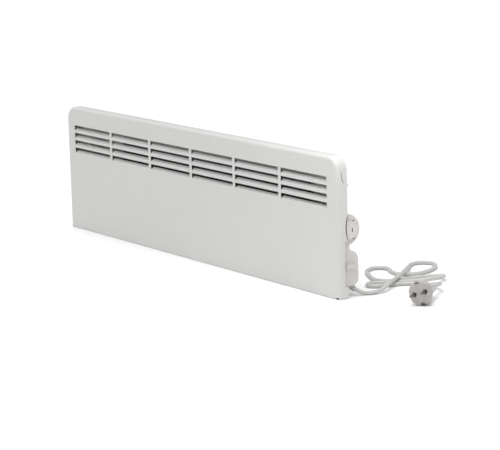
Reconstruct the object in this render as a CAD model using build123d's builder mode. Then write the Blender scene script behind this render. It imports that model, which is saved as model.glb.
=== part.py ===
"""Low wall panel convector heater, standing on a surface with its mains lead in a loose hank behind it.

Millimetres. +X runs along the heater, the front face looks to -Y, the wall is at +Y, +Z is up.
The origin is under the middle of the heater, on the surface that it stands on.
"""
from build123d import *
import math
import os

os.makedirs("parts", exist_ok=True)

# ---- the whole heater -------------------------------------------------------------------
width = 853.0  # along the wall
height = 235.0
depth = 85.0  # front face to wall
front_y = -depth / 2
wall_y = depth / 2
running_gap = 0.05  # radial play of turning pins
seat_gap = 0.3  # play beside parts that move

# ---- front cover: painted steel sheet, pressed and folded ----------------------------------
sheet = 1.0
cover_depth = 20.5
face_bend = 7.0  # outside bend of the two sides and the top
base_bend = 2.0  # tighter fold along the bottom
top_corner = 24.0  # pressed top corners, seen from the front
lip = 8.0  # return lip round the back of the cover
cover_rear_y = front_y + cover_depth

# louvred grille
rows = 4
slot_length = 127.0
slot_bridge = 7.0  # metal between two columns
column_pitch = slot_length + slot_bridge
grille_end_margin = 24.0  # least metal beside the outer columns
columns = int((width - 2 * grille_end_margin) // column_pitch)
row_pitch = 14.3
slot_height = 10.0
grille_top_gap = 34.2  # top edge of the cover to the highest slot
blade_rise = 4.8  # how far a blade stands up in its slot
blade_lean = 5.3  # how far its top leans into the heater
blade_end_gap = 0.4

# small cuts in the folded sheet
relief_width = 5.2  # open fold relief at each bottom corner
relief_height = 3.2
relief_inset = 4.4
relief_rise = 0.4  # sheet left under it
slit_width = 1.2
slit_top = 26.0  # below the top edge
slit_length = 17.6
slit_front = 9.0  # behind the front face
slit_step = 4.3
thumb_notch_radius = 55.0
thumb_notch_depth = 4.7
thumb_notch_z = 117.5
edging_width = 2.0  # rubber edging in the thumb notch, at its middle
edging_radius = 80.0
end_cutback = 6.5  # end wall cut back in front of the switch housing
end_cutback_bottom = 19.5
end_cutback_top = 96.0

# ---- rear panel: a flat edge with a deep tray pressed into it --------------------------------
panel_inset = 2.0
tray_top = 200.0
tray_rear_y = 8.0
tray_bend = 6.0
inlet_length = 34.0
inlet_width = 6.0
inlet_pitch_x = 46.0
inlet_end_margin = 30.0  # least metal at each end of the inlet rows
inlet_pitch_y = 11.0
bead_length = 300.0
bead_width = 14.0
bead_height = 1.2
bead_levels = (62.0, 118.0)
tray_inner_y = tray_rear_y - sheet

# ---- control moulding at the right-hand end ---------------------------------------------------
box_wall = 2.0
box_face_x = width / 2 - 8.5  # outer face, just inside the end of the cover
box_depth = 30.0  # along X
box_front_y = front_y + 4.5
box_bottom = 17.5
box_low_top = 77.0
box_low_rear_y = 5.5
box_top_corner = 16.5
box_bottom_corner = 14.0
neck_rear_y = -12.0
dial_y = -17.0
dial_z = 112.3
dial_boss_radius = 26.0
box_edge_radius = 1.5
box_left_x = box_face_x - box_depth
lid_thick = 2.0
lid_screw_radius = 1.4
lid_screw_length = 9.0
lid_screw_head_radius = 2.8
lid_screw_head = 1.6
post_wall = 1.9  # plastic round a lid screw
post_sink = 0.5  # how far a post melts into the walls beside it
rear_post_z = 40.0
ear_height = 12.0
ear_thick = 3.0
ear_rim = 4.0  # plastic round the ear's screw
ear_root = 3.0  # how far an ear reaches into the moulding
opening_margin = 3.5  # play of the rear panel and the lip above and below the control moulding
side_margin = 2.0  # and beside its lid
ear_room = 9.0  # flat of the rear panel between the tray and the moulding
control_left = box_left_x - lid_thick - side_margin
tray_half_width = control_left - ear_room
inlet_columns = int(2 * (tray_half_width - inlet_end_margin) // inlet_pitch_x)

# dial and thermostat
knob_radius = 15.5
knob_length = 6.2
knob_gap = 0.4
knob_face_thick = 1.2  # outer wall of the knob over the end of the shaft
knob_grooves = 30
knob_groove_radius = 0.7
pointer_offset = 8.2
pointer_length = 5.5
pointer_width = 1.5
pointer_depth = 0.5
shaft_radius = 3.0
shaft_flat = 0.8
thermostat_width = 25.0  # along Y
thermostat_height = 28.0
thermostat_length = 17.0  # along X
collar_length = 5.0
collar_radius = 8.0
bushing_radius = 5.0

# rocker switch, lying across the moulding
switch_y = -11.5
switch_z = 51.4
bezel_length = 19.5  # along Y
bezel_height = 13.5
bezel_thick = 1.8
switch_body_length = 17.8
switch_body_height = 11.6
switch_body_depth = 13.0
rocker_width = 9.0
rocker_half_length = 7.0
rocker_crown = 5.2
rocker_dish = 3.7
rocker_tilt = 9.0  # degrees to either side
rocker_gap = 0.3
rocker_keel = 4.5  # underside of the rocker, below its pivot
switch_mouth_half = 8.1  # half length of the opening that the rocker swings in
pivot_radius = 1.2
pivot_inset = 2.4  # behind the face of the moulding
pivot_length = 10.6
spade_width = 4.8
spade_thick = 0.8
spade_length = 7.0
spade_spread = 2.9  # in front of and behind the middle of the switch

# terminal block
block_depth = 10.0  # along X
block_width = 17.0  # along Y
block_height = 12.0
block_y = -23.5
block_z = 68.0
poles = 2
pole_pitch = 8.0
pole_screw_radius = 2.0
pole_screw_length = 4.0

# ---- heating element ------------------------------------------------------------------------
element_y = -15.0
element_z = 64.0
fin_reach = 27.0
fin_thick = 1.8
fin_angle = 60.0  # degrees above the level
fin_rib = 7.0
hub_radius = 7.0
rod_radius = 4.0
rod_end_room = 53.0  # from the end of the rod's tube to the tray's end wall
rod_half_length = tray_half_width - rod_end_room
fin_inset = 22.0  # bare rod beyond the fins
fin_half_length = rod_half_length - fin_inset
ceramic_radius = 5.5
ceramic_length = 12.0
stud_radius = 1.5
stud_length = 10.0
holder_inset = 11.0  # holder, from the end of the rod
bracket_x = rod_half_length - holder_inset
bracket_sheet = 1.5
bracket_reach_z = 20.0  # half height of the holder
bush_radius = 8.0
bush_flange_radius = 10.0
bush_length = 5.0
bush_flange = 1.5
holder_foot = 14.0

# heat reflector and overheat cut-out
reflector_inset = 5.0  # reflector, from the end of the fins
reflector_half_length = fin_half_length - reflector_inset
reflector_bottom = 22.0
reflector_top = 182.0  # above the slots of the wall brackets
reflector_sheet = 0.8
reflector_y = 1.5
cutout_x = 120.0
cutout_z = 126.0
cutout_radius = 8.0
cutout_length = 7.0
cutout_plate = 1.2
cutout_plate_width = 24.0
cutout_plate_height = 30.0

# ---- wall brackets ---------------------------------------------------------------------------
wall_bracket_x = 200.0
wall_bracket_width = 36.0
wall_bracket_sheet = 1.5
wall_bracket_top = 196.0
channel_depth = 9.0
flange_top = 188.0
shelf_width = 28.0
hook_z = 172.0  # underside of the shelf that carries the heater
hook_lip = 5.0
hook_reach = 3.8  # lip behind the back of the tray
hook_slot_width = 32.0
hook_slot_drop = 8.0
low_arm_z = 24.0
low_arm_rise = 20.0
bumper_radius = 7.0
bumper_thick = 4.0
wall_hole_radius = 2.75
wall_hole_low = 56.0
wall_hole_high = 146.0

# quarter-turn locks
lock_y = 22.0
lock_pin_radius = 3.0
lock_head_radius = 7.0
lock_head_height = 3.0
lock_tab_length = 17.0
lock_tab_half_width = 4.0
lock_tab_thick = 3.0
lock_slot_width = 1.4
lock_slot_depth = 1.2

# ---- fasteners -------------------------------------------------------------------------------
screw_radius = 1.7
screw_head_radius = 3.5
screw_head_height = 2.2
screw_length = 6.0
top_screw_pitch = 300.0
left_screw_levels = (60.0, 170.0)
right_screw_drop = 48.0  # below the top edge
base_screw_inset = 26.5  # from each end

# ---- mains lead ------------------------------------------------------------------------------
cord_diameter = 7.0
cord_radius = cord_diameter / 2
cord_arc_share = 0.45  # part of the shorter run that an arc takes
relief_inside = 8.0
relief_outside = 12.2
relief_root_radius = 6.0
relief_tip_radius = 4.4
clamp_width = 18.0  # along Y
clamp_depth = 15.0  # along X
clamp_height = 8.5
clamp_bottom = 40.0
clamp_screw_spread = 6.3

# the lead from its end in the moulding, out, and through its loose hank to the plug,
# laid out for a moulding whose outer face is at route_face_x
route_face_x = 418.0
cord_route = [
    (398.5, -18.9, 50.1), (398.5, -18.9, 29.3), (419.3, 6.1, 3.5), (430.7, 25.5, 3.5), (430.5, 44, 6),
    (423, 60, 10.9), (411, 80, 11.4), (397, 101, 11.5), (380, 125, 11.4), (360, 149, 11.5),
    (339, 171, 9), (320, 189, 4.5), (304, 205, 3.5), (297, 223, 3.5), (307, 241, 3.5),
    (326, 243, 3.5), (343, 232, 3.5), (356, 215, 3.5), (365, 192, 3.5), (368, 169, 3.5),
    (358, 150, 3.5), (338, 143, 3.5), (319, 151, 3.5), (303, 160, 3.5), (287, 156, 3.5),
    (281, 141, 3.5), (289, 123, 3.5), (305, 110, 3.5), (324, 101, 3.5), (342, 91, 3.5),
    (363, 87, 3.5), (379, 98, 3.5), (386, 117, 3.5), (387, 139, 3.5), (392, 159, 3.5),
    (401, 175, 4.5), (413, 184, 6), (426, 182, 7.5), (432, 169, 8), (427, 152, 7.2),
    (416, 134, 4.5), (401, 118, 3.5), (391, 98, 3.5), (381, 81, 3.5), (370, 67, 3.5),
    (376, 53, 3.5), (391, 51, 3.5), (400, 67, 3.5), (404, 89, 3.5), (413, 109, 3.5),
    (430, 122, 3.5), (450, 130, 4.5), (468, 131, 7.5), (484, 124, 12), (496.1, 109.2, 15.9),
    (508, 89.1, 17.1),
]
hank_first_index = 11  # the loops lie between the middles of these two runs
hank_last_index = 48

# ---- two-pin earthed plug, at the end of the lead ----------------------------------------------
pin_line_tilt = 19.0  # degrees that the plug has rolled on its rim
plug_radius = 19.5
plug_flat = 35.0  # across the two gripping flats
plug_rim = 18.0
plug_side_rim = 8.0  # depth of the rim beside the pins, where the fingers grip behind it
plug_grip_half = 9.5
plug_grip_slope = 7.0
plug_length = 68.0
plug_neck_radius = 8.2
plug_neck_start = 38.0
plug_neck_end = 60.0
plug_neck_round = 3.0
plug_boot_radius = 4.4
pin_radius = 2.4
pin_length = 19.0
pin_pitch = 19.0
pin_tip = 1.6
pin_well_radius = 4.1
pin_well_depth = 3.0
clip_width = 5.0
clip_length = 13.0
clip_thick = 1.0
clip_notch_depth = 3.0

# ---- inner wiring ----------------------------------------------------------------------------
wire_radius = 1.2
wire_bend = 3.0
wire_seat = 4.0  # how far a wire goes into a pole of the block
wire_room = 11.0  # wires run down this far from the tray's end wall
behind_x = tray_half_width - wire_room
high_bend = 19.0  # where a wire leaves its level run, from the drop behind the element's end
low_bend = 34.0  # and where it has come down to the cut-out's level
level_rise = 20.0  # that level, over the cut-out
left_bend = 12.0  # the end of that run at the left, from its drop
left_drop = 6.0
grommet_y = -13.5
grommet_z = 110.0
grommet_radius = 6.0
grommet_bore = 4.2
grommet_lip = 1.2


def front_plane(y):
    """Upright plane facing the room at depth y: sketch x is +X, sketch y is +Z."""
    return Plane.XZ.offset(-y)


def end_plane(x):
    """Upright plane facing the right-hand end: sketch x is +Y, sketch y is +Z."""
    return Plane.YZ.offset(x)


def cover_outline():
    """Front view of the cover, with its pressed top corners."""
    with Locations((0, height / 2)):
        Rectangle(width, height)
    fillet(vertices().group_by(Axis.Y)[-1], radius=top_corner)


# =============================================================================================
# Front cover
# =============================================================================================
slot_top = height - grille_top_gap
slot_bottoms = [slot_top - slot_height - row * row_pitch for row in range(rows)]
column_places = [(column - (columns - 1) / 2) * column_pitch for column in range(columns)]
control_low = box_bottom - opening_margin
control_high = dial_z + dial_boss_radius + opening_margin
lip_middle = sheet + lip / 2
screw_places = (
    [(x, height - lip_middle) for x in (-top_screw_pitch, 0.0, top_screw_pitch)]
    + [(-width / 2 + lip_middle, z) for z in left_screw_levels]
    + [(width / 2 - lip_middle, height - right_screw_drop)]
    + [(side * (width / 2 - base_screw_inset), lip_middle) for side in (-1, 1)]
)

with BuildPart() as louvre_blade:
    with BuildSketch(Plane.YZ):
        with BuildLine():
            Polyline(
                (front_y, -sheet / 2),
                (front_y + sheet, -sheet / 2),
                (front_y + sheet, 0),
                (front_y + blade_lean + sheet, blade_rise),
                (front_y + blade_lean, blade_rise),
                (front_y, 0),
                close=True,
            )
        make_face()
    extrude(amount=slot_length / 2 - blade_end_gap, both=True)

with BuildPart() as front_cover:
    with BuildSketch(front_plane(front_y)):
        cover_outline()
    extrude(amount=-cover_depth)
    front_edges = faces().sort_by(Axis.Y)[0].edges()
    fillet([edge for edge in front_edges if edge.center().Z > sheet], radius=face_bend)
    base_edges = faces().sort_by(Axis.Z)[0].edges()
    fillet([edge for edge in base_edges if edge.center().Y < front_y + face_bend - 0.01], radius=base_bend)
    offset(amount=-sheet, openings=faces().sort_by(Axis.Y)[-1])
    with BuildSketch(front_plane(cover_rear_y)):
        cover_outline()
        with Locations((0, height / 2)):
            Rectangle(width - 2 * (sheet + lip), height - 2 * (sheet + lip), mode=Mode.SUBTRACT)
    extrude(amount=sheet)
    with BuildSketch(front_plane(front_y)):
        with Locations((0, (slot_bottoms[0] + slot_bottoms[-1] + slot_height) / 2)):
            with GridLocations(column_pitch, row_pitch, columns, rows):
                Rectangle(slot_length, slot_height)
    extrude(amount=-2 * sheet, mode=Mode.SUBTRACT)
    with Locations(*[(x, 0, z) for x in column_places for z in slot_bottoms]):
        add(louvre_blade.part)
    # the lip stops short of the control moulding, and the end wall is cut back with a thumb notch
    with BuildSketch(front_plane(cover_rear_y)):
        with Locations((width / 2 - sheet - lip / 2, (control_low + control_high) / 2)):
            Rectangle(lip, control_high - control_low)
    extrude(amount=2 * sheet, mode=Mode.SUBTRACT)
    with BuildSketch(end_plane(width / 2 + sheet)):
        with Locations((cover_rear_y - thumb_notch_depth + thumb_notch_radius, thumb_notch_z)):
            Circle(thumb_notch_radius)
        with Locations((cover_rear_y, (end_cutback_bottom + end_cutback_top) / 2)):
            Rectangle(2 * end_cutback, end_cutback_top - end_cutback_bottom)
    extrude(amount=-3 * sheet, mode=Mode.SUBTRACT)
    # fold reliefs at the bottom corners and the slit under each pressed top corner
    for side in (-1, 1):
        corner = (side * (width / 2 - relief_inset), front_y, relief_height / 2 + relief_rise)
        with BuildSketch(Plane(origin=corner, x_dir=(0, 0, 1), z_dir=(side, -1, 0))):
            Ellipse(relief_height / 2, relief_width / 2)
        extrude(amount=2 * sheet + 2, both=True, mode=Mode.SUBTRACT)
    with BuildSketch(Plane.YZ):
        with BuildLine():
            FilletPolyline(
                (front_y + slit_front, height - slit_top),
                (front_y + slit_front + 0.4, height - slit_top - slit_length / 2),
                (front_y + slit_front + slit_step, height - slit_top - slit_length),
                radius=8,
            )
        trace(line_width=slit_width)
    extrude(amount=width, both=True, mode=Mode.SUBTRACT)
    with BuildSketch(front_plane(cover_rear_y)):
        with Locations(*screw_places):
            Circle(screw_radius + running_gap)
    extrude(amount=2 * sheet, mode=Mode.SUBTRACT)
front_cover.part.label = "front_cover"
export_step(front_cover.part, "parts/front_cover.step")
print("front cover", len(front_cover.part.solids()), "solid,", round(front_cover.part.volume), "mm3")

# =============================================================================================
# Rear panel
# =============================================================================================
hook_slot_top = hook_z + wall_bracket_sheet + 0.2
hook_slot_height = hook_slot_top - hook_z + hook_slot_drop

with BuildPart() as tray_cavity:
    with BuildSketch(front_plane(cover_rear_y)):
        with Locations((0, tray_top / 2)):
            Rectangle(2 * (tray_half_width - sheet), tray_top - 2 * sheet)
    extrude(amount=-(tray_inner_y - cover_rear_y))
    fillet(faces().sort_by(Axis.Y)[-1].edges(), radius=tray_bend - sheet)

with BuildPart() as rear_panel:
    with BuildSketch(front_plane(cover_rear_y)):
        with Locations((0, (height - panel_inset) / 2)):
            Rectangle(width - 2 * panel_inset, height - panel_inset)
        fillet(vertices().group_by(Axis.Y)[-1], radius=top_corner - panel_inset)
    extrude(amount=-sheet)
    with BuildSketch(front_plane(cover_rear_y)):
        with Locations((0, tray_top / 2)):
            Rectangle(2 * tray_half_width, tray_top)
    extrude(amount=-(tray_rear_y - cover_rear_y))
    fillet(faces().sort_by(Axis.Y)[-1].edges(), radius=tray_bend)
    # pressed stiffening beads stand out of the back and are hollow inside
    with BuildSketch(front_plane(tray_rear_y)):
        with Locations(*[(0, z) for z in bead_levels]):
            SlotOverall(bead_length, bead_width)
    extrude(amount=-bead_height)
    add(tray_cavity.part, mode=Mode.SUBTRACT)
    with BuildSketch(front_plane(tray_inner_y)):
        with Locations(*[(0, z) for z in bead_levels]):
            SlotOverall(bead_length - 2 * sheet, bead_width - 2 * sheet)
    extrude(amount=-bead_height, mode=Mode.SUBTRACT)
    # air inlets along the underside
    with BuildSketch(Plane.XY):
        with Locations((0, (cover_rear_y + tray_inner_y - tray_bend) / 2)):
            with GridLocations(inlet_pitch_x, inlet_pitch_y, inlet_columns, 2):
                SlotOverall(inlet_length, inlet_width)
    extrude(amount=2 * sheet, mode=Mode.SUBTRACT)
    # slots that the wall brackets hook into
    with BuildSketch(front_plane(tray_inner_y - sheet)):
        with Locations(*[(x, hook_slot_top - hook_slot_height / 2) for x in (-wall_bracket_x, wall_bracket_x)]):
            Rectangle(hook_slot_width, hook_slot_height)
    extrude(amount=-3 * sheet, mode=Mode.SUBTRACT)
    # cut-out for the control moulding, open to the end
    with BuildSketch(front_plane(cover_rear_y - sheet)):
        with Locations(((control_left + width / 2) / 2, (control_low + control_high) / 2)):
            Rectangle(width / 2 - control_left, control_high - control_low)
    extrude(amount=-3 * sheet, mode=Mode.SUBTRACT)
    with BuildSketch(end_plane(tray_half_width - 2 * sheet)):
        with Locations((grommet_y, grommet_z)):
            Circle(grommet_radius)
    extrude(amount=3 * sheet, mode=Mode.SUBTRACT)
    ear_x = (tray_half_width + control_left) / 2
    ear_levels = (box_bottom + ear_height / 2, dial_z + dial_boss_radius - ear_height / 2)
    holder_screw_places = [
        (side * (bracket_x - holder_foot / 2), element_z + offset_z)
        for side in (-1, 1)
        for offset_z in (-bracket_reach_z + 6, bracket_reach_z - 6)
    ]
    with BuildSketch(front_plane(cover_rear_y - sheet)):
        with Locations(*screw_places, *[(ear_x, z) for z in ear_levels]):
            Circle(screw_radius + running_gap)
    extrude(amount=-3 * sheet, mode=Mode.SUBTRACT)
    with BuildSketch(front_plane(tray_inner_y - sheet)):
        with Locations(*holder_screw_places):
            Circle(screw_radius + running_gap)
    extrude(amount=-3 * sheet, mode=Mode.SUBTRACT)
rear_panel.part.label = "rear_panel"
export_step(rear_panel.part, "parts/rear_panel.step")

# One pan-head screw, head towards +Y and its seat at y = 0
with BuildPart() as pan_screw:
    with BuildSketch(Plane.XZ):
        Circle(screw_radius)
    extrude(amount=screw_length)
    with BuildSketch(Plane.XZ):
        Circle(screw_head_radius)
    extrude(amount=-screw_head_height)
    fillet(edges().sort_by(Axis.Y)[-1], radius=screw_head_height / 2)
    with BuildSketch(Plane.XZ.offset(-screw_head_height)):
        Rectangle(2.6, 0.7)
        Rectangle(0.7, 2.6)
    extrude(amount=screw_head_height / 2, mode=Mode.SUBTRACT)

with BuildPart() as cover_screws:
    with Locations(*[(x, cover_rear_y + sheet, z) for x, z in screw_places]):
        add(pan_screw.part)
cover_screws.part.label = "cover_screws"
export_step(cover_screws.part, "parts/cover_screws.step")

# =============================================================================================
# Heating element, its holders, the reflector and the overheat cut-out
# =============================================================================================
with BuildPart() as heating_fins:
    with BuildSketch(end_plane(-fin_half_length)):
        with Locations((element_y, element_z)):
            Circle(hub_radius)
            for turn in (fin_angle, 180 - fin_angle, 180 + fin_angle, -fin_angle):
                with Locations(Location((0, 0), turn)):
                    with Locations((fin_reach / 2, 0)):
                        Rectangle(fin_reach, fin_thick)
                    with Locations((fin_reach * 0.6, 0), (fin_reach * 0.85, 0)):
                        Rectangle(fin_thick * 0.7, fin_rib)
            Circle(rod_radius + running_gap, mode=Mode.SUBTRACT)
    extrude(amount=2 * fin_half_length)
heating_fins.part.label = "heating_fins"
export_step(heating_fins.part, "parts/heating_fins.step")

with BuildPart() as heating_rod:
    with BuildSketch(end_plane(-rod_half_length)):
        with Locations((element_y, element_z)):
            Circle(rod_radius)
    extrude(amount=2 * rod_half_length)
heating_rod.part.label = "heating_rod"
export_step(heating_rod.part, "parts/heating_rod.step")

with BuildPart() as rod_insulators:
    for side in (-1, 1):
        with BuildSketch(end_plane(side * rod_half_length)):
            with Locations((element_y, element_z)):
                Circle(ceramic_radius)
        extrude(amount=side * ceramic_length, taper=4)
rod_insulators.part.label = "rod_insulators"
export_step(rod_insulators.part, "parts/rod_insulators.step")

stud_start = rod_half_length + ceramic_length
with BuildPart() as rod_studs:
    for side in (-1, 1):
        with BuildSketch(end_plane(side * stud_start)):
            with Locations((element_y, element_z)):
                Circle(stud_radius)
        extrude(amount=side * stud_length)
rod_studs.part.label = "rod_studs"
export_step(rod_studs.part, "parts/rod_studs.step")


def element_holder(side):
    """Upright steel plate with a hole for the bush and a foot screwed to the tray."""
    with BuildPart() as holder:
        plate_x = side * bracket_x
        plate_front_y = element_y - bush_flange_radius - 2
        with BuildSketch(end_plane(plate_x)):
            with Locations(((plate_front_y + tray_inner_y) / 2, element_z)):
                Rectangle(tray_inner_y - plate_front_y, 2 * bracket_reach_z)
            fillet(vertices().group_by(Axis.X)[0], radius=8)
            with Locations((element_y, element_z)):
                Circle(bush_radius + running_gap, mode=Mode.SUBTRACT)
        extrude(amount=side * bracket_sheet)
        with BuildSketch(front_plane(tray_inner_y)):
            with Locations((plate_x - side * holder_foot / 2 + side * bracket_sheet / 2, element_z)):
                Rectangle(holder_foot + bracket_sheet, 2 * bracket_reach_z)
            with Locations(*[place for place in holder_screw_places if place[0] * side > 0]):
                Circle(screw_radius + running_gap, mode=Mode.SUBTRACT)
        extrude(amount=bracket_sheet)
    return holder.part


holder_left = element_holder(-1)
holder_left.label = "element_holder_left"
export_step(holder_left, "parts/element_holder_left.step")
holder_right = element_holder(1)
holder_right.label = "element_holder_right"
export_step(holder_right, "parts/element_holder_right.step")

with BuildPart() as element_bushes:
    for side in (-1, 1):
        outer_x = side * (bracket_x + bracket_sheet)
        with BuildSketch(end_plane(outer_x - side * bush_length)):
            with Locations((element_y, element_z)):
                Circle(bush_radius)
                Circle(rod_radius + running_gap, mode=Mode.SUBTRACT)
        extrude(amount=side * bush_length)
        with BuildSketch(end_plane(outer_x)):
            with Locations((element_y, element_z)):
                Circle(bush_flange_radius)
                Circle(rod_radius + running_gap, mode=Mode.SUBTRACT)
        extrude(amount=side * bush_flange)
element_bushes.part.label = "element_bushes"
export_step(element_bushes.part, "parts/element_bushes.step")

with BuildPart() as holder_screws:
    with Locations(*[(x, tray_rear_y, z) for x, z in holder_screw_places]):
        add(pan_screw.part)
holder_screws.part.label = "holder_screws"
export_step(holder_screws.part, "parts/holder_screws.step")

# the reflector stands on its own folded edges against the back of the tray
with BuildPart() as heat_reflector:
    reflector_middle = (reflector_bottom + reflector_top) / 2
    with BuildSketch(front_plane(reflector_y)):
        with Locations((0, reflector_middle)):
            Rectangle(2 * reflector_half_length, reflector_top - reflector_bottom)
    extrude(amount=-reflector_sheet)
    for edge_z in (reflector_bottom + reflector_sheet / 2, reflector_top - reflector_sheet / 2):
        with BuildSketch(front_plane(reflector_y)):
            with Locations((0, edge_z)):
                Rectangle(2 * reflector_half_length, reflector_sheet)
        extrude(amount=-(tray_inner_y - reflector_y))
heat_reflector.part.label = "heat_reflector"
export_step(heat_reflector.part, "parts/heat_reflector.step")

plate_y = reflector_y - cutout_plate
with BuildPart() as cutout_plate_part:
    with BuildSketch(front_plane(reflector_y)):
        with Locations((cutout_x, cutout_z)):
            Rectangle(cutout_plate_width, cutout_plate_height)
        fillet(vertices(), radius=3)
    extrude(amount=cutout_plate)
cutout_plate_part.part.label = "cutout_plate"
export_step(cutout_plate_part.part, "parts/cutout_plate.step")

with BuildPart() as overheat_cutout:
    with BuildSketch(front_plane(plate_y)):
        with Locations((cutout_x, cutout_z)):
            Circle(cutout_radius)
    extrude(amount=cutout_length)
    fillet(edges().sort_by(Axis.Y)[0], radius=1)
    for side in (-1, 1):
        with BuildSketch(front_plane(plate_y - cutout_length / 2)):
            with Locations((cutout_x + side * (cutout_radius + spade_length / 2 - 1), cutout_z)):
                Rectangle(spade_length + 2, spade_width)
        extrude(amount=spade_thick)
overheat_cutout.part.label = "overheat_cutout"
export_step(overheat_cutout.part, "parts/overheat_cutout.step")

# =============================================================================================
# Control moulding: a round boss round the dial over a D-shaped housing for switch and terminals
# =============================================================================================
points = [Vector(x + box_face_x - route_face_x, y, z) for x, y, z in cord_route]
lead_top = points[0]
exit_line = points[2] - points[1]
exit_way = exit_line.normalized()
cord_exit = points[1] + exit_line * ((points[1].Z - box_bottom) / -exit_line.Z)


def control_outline():
    """End view of the control moulding."""
    with Locations((dial_y, dial_z)):
        Circle(dial_boss_radius)
    with Locations((box_front_y - dial_boss_radius, dial_z)):
        Rectangle(2 * dial_boss_radius, 2 * dial_boss_radius, mode=Mode.SUBTRACT)
    boss_low = dial_z - dial_boss_radius
    boss_high = dial_z + dial_boss_radius
    with Locations(((box_front_y + dial_y) / 2, dial_z)):
        Rectangle(dial_y - box_front_y, boss_high - boss_low)
    with Locations(((box_front_y + neck_rear_y) / 2, (box_low_top + dial_z) / 2)):
        Rectangle(neck_rear_y - box_front_y, dial_z - box_low_top + 2 * box_top_corner)
    low_middle = ((box_front_y + box_low_rear_y) / 2, (box_bottom + box_low_top) / 2)
    with Locations(low_middle):
        Rectangle(box_low_rear_y - box_front_y, box_low_top - box_bottom)
    low_corners = vertices().filter_by(lambda corner: abs(corner.X - box_low_rear_y) < 0.01)
    fillet(low_corners.sort_by(Axis.Y)[0], radius=box_bottom_corner)
    high_corners = vertices().filter_by(lambda corner: abs(corner.Y - box_low_top) < 0.01)
    fillet(high_corners.sort_by(Axis.X)[-1], radius=box_top_corner)


with BuildPart() as control_box:
    with BuildSketch(end_plane(box_left_x)):
        control_outline()
    extrude(amount=box_depth)
    fillet(faces().sort_by(Axis.X)[-1].edges(), radius=box_edge_radius)
    with BuildSketch(end_plane(box_left_x)):
        control_outline()
        offset(amount=-box_wall, mode=Mode.REPLACE)
    extrude(amount=box_depth - box_wall, mode=Mode.SUBTRACT)
    # posts for the lid screws
    post_radius = lid_screw_radius + post_wall
    post_inset = box_wall + post_radius - post_sink
    post_places = [
        (box_front_y + post_inset, box_bottom + post_inset),
        (box_front_y + post_inset, dial_z + dial_boss_radius - post_inset),
        (box_low_rear_y - post_inset, rear_post_z),
    ]
    with BuildSketch(end_plane(box_left_x)):
        with Locations(*post_places):
            Circle(post_radius)
    extrude(amount=box_depth - box_wall)
    with BuildSketch(end_plane(box_left_x)):
        with Locations(*post_places):
            Circle(lid_screw_radius + running_gap)
    extrude(amount=lid_screw_length, mode=Mode.SUBTRACT)
    # ears screwed to the rear panel
    ear_left = ear_x - ear_rim
    ear_right = box_left_x + ear_root
    with BuildSketch(front_plane(cover_rear_y)):
        with Locations(*[((ear_left + ear_right) / 2, z) for z in ear_levels]):
            Rectangle(ear_right - ear_left, ear_height)
        with Locations(*[(ear_x, z) for z in ear_levels]):
            Circle(screw_radius + running_gap, mode=Mode.SUBTRACT)
    extrude(amount=ear_thick)
    # round hole for the thermostat bushing, rectangular hole for the switch, outlet for the lead
    with BuildSketch(end_plane(box_face_x - 2 * box_wall)):
        with Locations((dial_y, dial_z)):
            Circle(bushing_radius + running_gap)
        with Locations((switch_y, switch_z)):
            Rectangle(switch_body_length + 2 * running_gap, switch_body_height + 2 * running_gap)
    extrude(amount=3 * box_wall, mode=Mode.SUBTRACT)
    with BuildSketch(Plane(origin=cord_exit, z_dir=exit_way)):
        Circle(relief_root_radius + running_gap)
    extrude(amount=relief_inside + relief_root_radius, both=True, mode=Mode.SUBTRACT)
print("moulding", len(control_box.part.solids()), "solid,", round(control_box.part.volume), "mm3")
control_box.part.label = "control_box"
export_step(control_box.part, "parts/control_box.step")

lid_x = box_left_x - lid_thick
with BuildPart() as control_box_lid:
    with BuildSketch(end_plane(lid_x)):
        control_outline()
        with Locations((grommet_y, grommet_z)):
            Circle(grommet_bore, mode=Mode.SUBTRACT)
        with Locations(*[(cover_rear_y - ear_thick / 2, z) for z in ear_levels]):
            Rectangle(ear_thick + 2 * seat_gap, ear_height + 2 * seat_gap, mode=Mode.SUBTRACT)
        with Locations(*post_places):
            Circle(lid_screw_radius + running_gap, mode=Mode.SUBTRACT)
        clamp_screw_places = [
            (lead_top.Y + side * clamp_screw_spread, clamp_bottom + clamp_height / 2) for side in (-1, 1)
        ]
        with Locations(*clamp_screw_places):
            Circle(lid_screw_radius + running_gap, mode=Mode.SUBTRACT)
    extrude(amount=lid_thick)
control_box_lid.part.label = "control_box_lid"
export_step(control_box_lid.part, "parts/control_box_lid.step")

# One lid screw, head towards -X and its seat at x = 0
with BuildPart() as lid_screw:
    with BuildSketch(Plane.YZ):
        Circle(lid_screw_radius)
    extrude(amount=lid_screw_length)
    with BuildSketch(Plane.YZ):
        Circle(lid_screw_head_radius)
        Rectangle(2 * lid_screw_head_radius * 0.8, 0.7, mode=Mode.SUBTRACT)
    extrude(amount=-lid_screw_head)
    with BuildSketch(Plane.YZ):
        Circle(lid_screw_head_radius)
    extrude(amount=-lid_screw_head / 2)

with BuildPart() as lid_screws:
    with Locations(*[(lid_x, y, z) for y, z in post_places]):
        add(lid_screw.part)
lid_screws.part.label = "lid_screws"
export_step(lid_screws.part, "parts/lid_screws.step")

with BuildPart() as clamp_screws:
    with Locations(*[(lid_x, y, z) for y, z in clamp_screw_places]):
        add(lid_screw.part)
clamp_screws.part.label = "clamp_screws"
export_step(clamp_screws.part, "parts/clamp_screws.step")

with BuildPart() as box_screws:
    with Locations(*[(ear_x, cover_rear_y + sheet, z) for z in ear_levels]):
        add(pan_screw.part)
box_screws.part.label = "box_screws"
export_step(box_screws.part, "parts/box_screws.step")

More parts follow.
